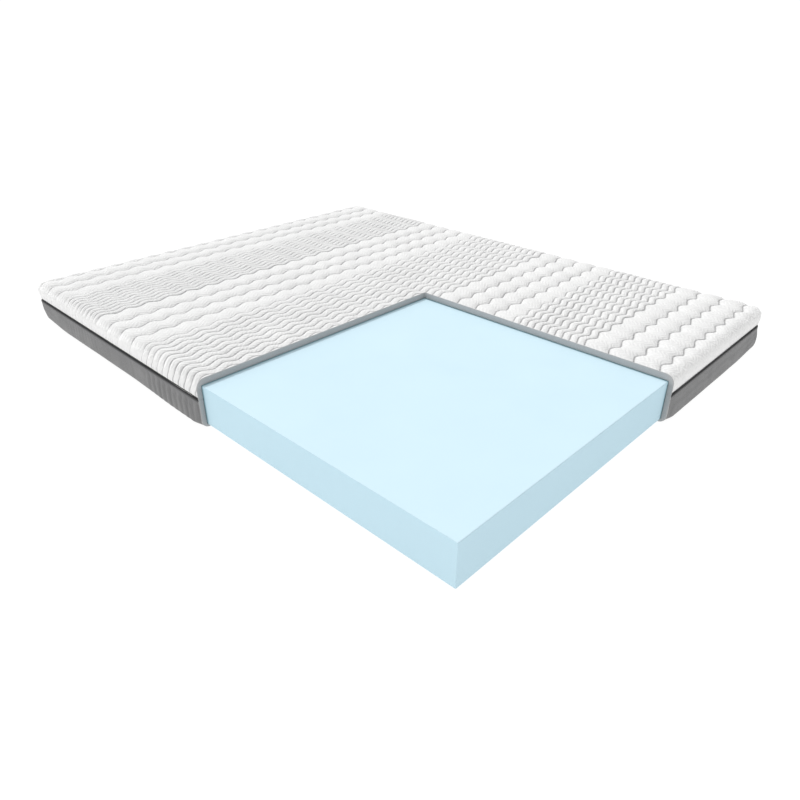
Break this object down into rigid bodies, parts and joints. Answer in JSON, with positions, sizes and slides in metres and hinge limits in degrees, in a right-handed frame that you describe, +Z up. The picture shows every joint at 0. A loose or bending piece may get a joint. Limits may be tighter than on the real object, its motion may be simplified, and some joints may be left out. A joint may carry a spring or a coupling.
{
  "type": "memory foam mattress",
  "caption": "Low double mattress: a pale blue foam block in a white quilted cover with a grey side band and a zip all round, cut away at one foot corner to show the foam.",
  "frame": {"origin": "middle of the underside, on the surface the mattress lies on", "axes": "+Z up; +Y along the length, towards the head end; +X across the width; the cut-away corner is at -X, -Y"},
  "size_m": [1.6, 2, 0.15],
  "materials": {
    "memory_foam": "matte open-cell foam, pale blue",
    "white_knit": "soft white quilted knit",
    "wadding": "loose white polyester fibre",
    "lining": "thin non-woven backing",
    "grey_binding": "mid grey woven binding tape",
    "grey_knit": "grey ribbed knit",
    "bottom_fabric": "grey woven underside fabric",
    "zip_tape": "dark grey woven zip tape",
    "zip_teeth": "dark nylon coil",
    "zip_metal": "dark lacquered die-cast zinc"
  },
  "bodies": {
    "lower_cover": {"side_band_knit": "grey_knit", "side_band_wadding": "wadding", "lower_lining": "lining", "lower_cut_binding": "grey_binding", "bottom_panel_fabric": "bottom_fabric", "bottom_panel_wadding": "wadding", "bottom_seam_tape": "grey_binding", "lower_zip_tape": "zip_tape", "lower_zip_teeth": "zip_teeth", "lower_zip_stop": "zip_metal"},
    "foam": {"foam_core": "memory_foam"},
    "upper_cover": {"top_knit": "white_knit", "top_wadding": "wadding", "top_lining": "lining", "upper_cut_binding": "grey_binding", "upper_zip_tape": "zip_tape", "upper_zip_teeth": "zip_teeth", "upper_zip_stop": "zip_metal"},
    "zip_slider": {"slider_body": "zip_metal", "slider_crown": "zip_metal"},
    "zip_pull": {"pull_tab": "zip_metal"}
  },
  "joints": [
    {"name": "foam_lift", "type": "slide", "parent": "lower_cover", "child": "foam", "axis": [0, 0, 1], "range_m": [0, 0.3]},
    {"name": "cover_lift", "type": "slide", "parent": "foam", "child": "upper_cover", "axis": [0, 0, 1], "range_m": [0, 0.2]},
    {"name": "slider_travel", "type": "slide", "parent": "lower_cover", "child": "zip_slider", "axis": [0, -1, 0], "range_m": [0, 1.85]},
    {"name": "pull_swing", "type": "hinge", "parent": "zip_slider", "child": "zip_pull", "pos_m": [0.7983, 0.925, 0.091], "axis": [0, 0, 1], "range_deg": [0, 175]}
  ]
}
